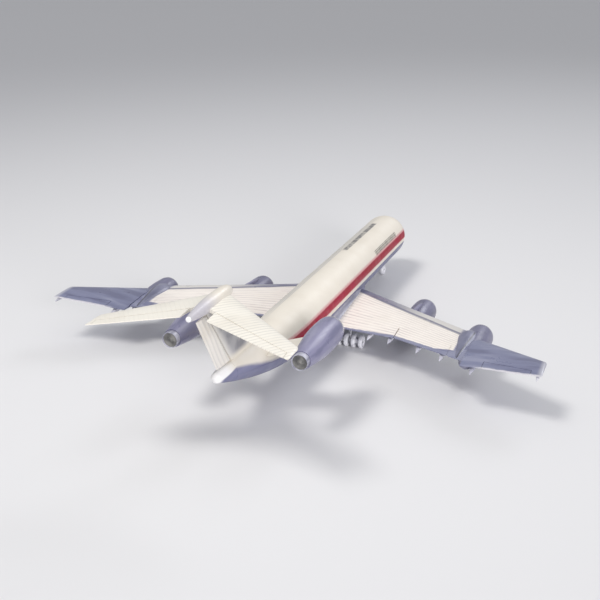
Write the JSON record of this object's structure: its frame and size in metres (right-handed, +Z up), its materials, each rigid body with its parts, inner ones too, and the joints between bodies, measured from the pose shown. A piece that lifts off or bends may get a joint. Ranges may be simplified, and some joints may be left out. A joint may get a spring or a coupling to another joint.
{
  "type": "jet airliner model",
  "caption": "Display model of a swept-wing jet airliner with a T-tail and podded engines; the control surfaces, fans and wheels turn.",
  "frame": {"origin": "on the ground plane under the wheels, below the middle of the model's length and span", "axes": "+Y towards the nose, +X towards the right wing tip, +Z up"},
  "size_m": [0.517, 0.6019, 0.1455],
  "materials": {
    "cream_paint": "satin",
    "grey_paint": "satin",
    "engine_dark": "matte",
    "wheel_grey": "matte",
    "leg_metal": "polished",
    "dark_glazing": "gloss",
    "white_lens": "gloss",
    "steel": "satin"
  },
  "bodies": {
    "airframe": {"fuselage_upper_shell": "cream_paint", "fuselage_lower_shell": "grey_paint", "nose_cone": "cream_paint", "windscreen": "dark_glazing", "tail_cone": "cream_paint", "belly_fairing": "grey_paint", "wing_spar": "steel", "nose_ballast": "steel", "fin": "cream_paint", "fin_bullet": "cream_paint", "tail_light": "white_lens", "nose_gear_strut": "leg_metal", "right_inner_wing": "cream_paint", "right_leading_edge": "grey_paint", "right_outer_wing": "grey_paint", "right_tailplane": "cream_paint", "right_inner_pylon": "grey_paint", "right_rear_pylon": "grey_paint", "right_main_gear_leg": "leg_metal", "right_inner_cowl": "grey_paint", "right_inner_engine_core": "engine_dark", "right_outer_cowl": "grey_paint", "right_outer_engine_core": "engine_dark", "right_rear_cowl": "grey_paint", "right_rear_engine_core": "engine_dark", "left_inner_wing": "cream_paint", "left_leading_edge": "grey_paint", "left_outer_wing": "grey_paint", "left_tailplane": "cream_paint", "left_inner_pylon": "grey_paint", "left_rear_pylon": "grey_paint", "left_main_gear_leg": "leg_metal", "left_inner_cowl": "grey_paint", "left_inner_engine_core": "engine_dark", "left_outer_cowl": "grey_paint", "left_outer_engine_core": "engine_dark", "left_rear_cowl": "grey_paint", "left_rear_engine_core": "engine_dark"},
    "left_inner_flap": {"left_inner_flap": "grey_paint"},
    "left_outer_flap": {"left_outer_flap": "grey_paint"},
    "left_aileron": {"left_aileron": "grey_paint"},
    "left_elevator": {"left_elevator": "cream_paint"},
    "right_inner_flap": {"right_inner_flap": "grey_paint"},
    "right_outer_flap": {"right_outer_flap": "grey_paint"},
    "right_aileron": {"right_aileron": "grey_paint"},
    "right_elevator": {"right_elevator": "cream_paint"},
    "rudder": {"rudder": "cream_paint"},
    "left_inner_fan_rotor": {"left_inner_fan": "engine_dark"},
    "right_inner_fan_rotor": {"right_inner_fan": "engine_dark"},
    "left_outer_fan_rotor": {"left_outer_fan": "engine_dark"},
    "right_outer_fan_rotor": {"right_outer_fan": "engine_dark"},
    "left_rear_fan_rotor": {"left_rear_fan": "engine_dark"},
    "right_rear_fan_rotor": {"right_rear_fan": "engine_dark"},
    "nose_gear_fork": {"nose_gear_fork": "leg_metal"},
    "left_nose_wheel": {"left_nose_wheel": "wheel_grey"},
    "right_nose_wheel": {"right_nose_wheel": "wheel_grey"},
    "left_main_wheels_inner": {"left_main_wheels_inner": "wheel_grey"},
    "left_main_wheels_outer": {"left_main_wheels_outer": "wheel_grey"},
    "right_main_wheels_inner": {"right_main_wheels_inner": "wheel_grey"},
    "right_main_wheels_outer": {"right_main_wheels_outer": "wheel_grey"}
  },
  "joints": [
    {"name": "left_inner_flap_hinge", "type": "hinge", "parent": "airframe", "child": "left_inner_flap", "pos_m": [-0.0624, 0.00297, 0.03121], "axis": [0.9623, 0.2553, -0.0938], "range_deg": [0, 35]},
    {"name": "left_outer_flap_hinge", "type": "hinge", "parent": "airframe", "child": "left_outer_flap", "pos_m": [-0.1322, -0.02517, 0.03802], "axis": [0.8677, 0.4898, -0.0846], "range_deg": [0, 35]},
    {"name": "left_aileron_hinge", "type": "hinge", "parent": "airframe", "child": "left_aileron", "pos_m": [-0.226, -0.08165, 0.04903], "axis": [0.9693, 0.229, -0.0897], "range_deg": [-20, 20]},
    {"name": "left_elevator_hinge", "type": "hinge", "parent": "airframe", "child": "left_elevator", "pos_m": [-0.049, -0.27818, 0.13026], "axis": [0.9295, 0.3378, 0.1483], "range_deg": [-25, 15]},
    {"name": "right_inner_flap_hinge", "type": "hinge", "parent": "airframe", "child": "right_inner_flap", "pos_m": [0.0624, 0.00297, 0.03121], "axis": [0.9623, -0.2553, 0.0938], "range_deg": [0, 35]},
    {"name": "right_outer_flap_hinge", "type": "hinge", "parent": "airframe", "child": "right_outer_flap", "pos_m": [0.1322, -0.02517, 0.03802], "axis": [0.8677, -0.4898, 0.0846], "range_deg": [0, 35]},
    {"name": "right_aileron_hinge", "type": "hinge", "parent": "airframe", "child": "right_aileron", "pos_m": [0.226, -0.08165, 0.04903], "axis": [0.9693, -0.229, 0.0897], "range_deg": [-20, 20]},
    {"name": "right_elevator_hinge", "type": "hinge", "parent": "airframe", "child": "right_elevator", "pos_m": [0.049, -0.27818, 0.13026], "axis": [0.9295, -0.3378, -0.1483], "range_deg": [-25, 15]},
    {"name": "rudder_hinge", "type": "hinge", "parent": "airframe", "child": "rudder", "pos_m": [0, -0.23669, 0.1018], "axis": [0, -0.609, 0.7932], "range_deg": [-22, 22]},
    {"name": "left_inner_fan_spin", "type": "hinge", "parent": "airframe", "child": "left_inner_fan_rotor", "pos_m": [-0.1, 0.0915, 0.02], "axis": [0, 1, 0], "continuous": true},
    {"name": "right_inner_fan_spin", "type": "hinge", "parent": "airframe", "child": "right_inner_fan_rotor", "pos_m": [0.1, 0.0915, 0.02], "axis": [0, 1, 0], "continuous": true},
    {"name": "left_outer_fan_spin", "type": "hinge", "parent": "airframe", "child": "left_outer_fan_rotor", "pos_m": [-0.1815, 0.0035, 0.0354], "axis": [0, 1, 0], "continuous": true},
    {"name": "right_outer_fan_spin", "type": "hinge", "parent": "airframe", "child": "right_outer_fan_rotor", "pos_m": [0.1815, 0.0035, 0.0354], "axis": [0, 1, 0], "continuous": true},
    {"name": "left_rear_fan_spin", "type": "hinge", "parent": "airframe", "child": "left_rear_fan_rotor", "pos_m": [-0.0638, -0.134, 0.0763], "axis": [0, 1, 0], "continuous": true},
    {"name": "right_rear_fan_spin", "type": "hinge", "parent": "airframe", "child": "right_rear_fan_rotor", "pos_m": [0.0638, -0.134, 0.0763], "axis": [0, 1, 0], "continuous": true},
    {"name": "nose_gear_steer", "type": "hinge", "parent": "airframe", "child": "nose_gear_fork", "pos_m": [0, 0.255, 0.012], "axis": [0, 0, 1], "range_deg": [-60, 60]},
    {"name": "left_nose_wheel_roll", "type": "hinge", "parent": "nose_gear_fork", "child": "left_nose_wheel", "pos_m": [-0.0044, 0.255, 0.0065], "axis": [1, 0, 0], "continuous": true},
    {"name": "right_nose_wheel_roll", "type": "hinge", "parent": "nose_gear_fork", "child": "right_nose_wheel", "pos_m": [0.0044, 0.255, 0.0065], "axis": [1, 0, 0], "continuous": true},
    {"name": "left_main_wheels_inner_roll", "type": "hinge", "parent": "airframe", "child": "left_main_wheels_inner", "pos_m": [-0.032, 0.015, 0.0074], "axis": [1, 0, 0], "continuous": true},
    {"name": "left_main_wheels_outer_roll", "type": "hinge", "parent": "airframe", "child": "left_main_wheels_outer", "pos_m": [-0.0484, 0.015, 0.0074], "axis": [1, 0, 0], "continuous": true},
    {"name": "right_main_wheels_inner_roll", "type": "hinge", "parent": "airframe", "child": "right_main_wheels_inner", "pos_m": [0.032, 0.015, 0.0074], "axis": [1, 0, 0], "continuous": true},
    {"name": "right_main_wheels_outer_roll", "type": "hinge", "parent": "airframe", "child": "right_main_wheels_outer", "pos_m": [0.0484, 0.015, 0.0074], "axis": [1, 0, 0], "continuous": true}
  ],
  "couplings": [
    {"joint": "right_outer_flap_hinge", "follows": "right_inner_flap_hinge", "ratio": 1},
    {"joint": "left_inner_flap_hinge", "follows": "right_inner_flap_hinge", "ratio": 1},
    {"joint": "left_outer_flap_hinge", "follows": "right_inner_flap_hinge", "ratio": 1},
    {"joint": "left_aileron_hinge", "follows": "right_aileron_hinge", "ratio": -1},
    {"joint": "left_elevator_hinge", "follows": "right_elevator_hinge", "ratio": 1}
  ]
}
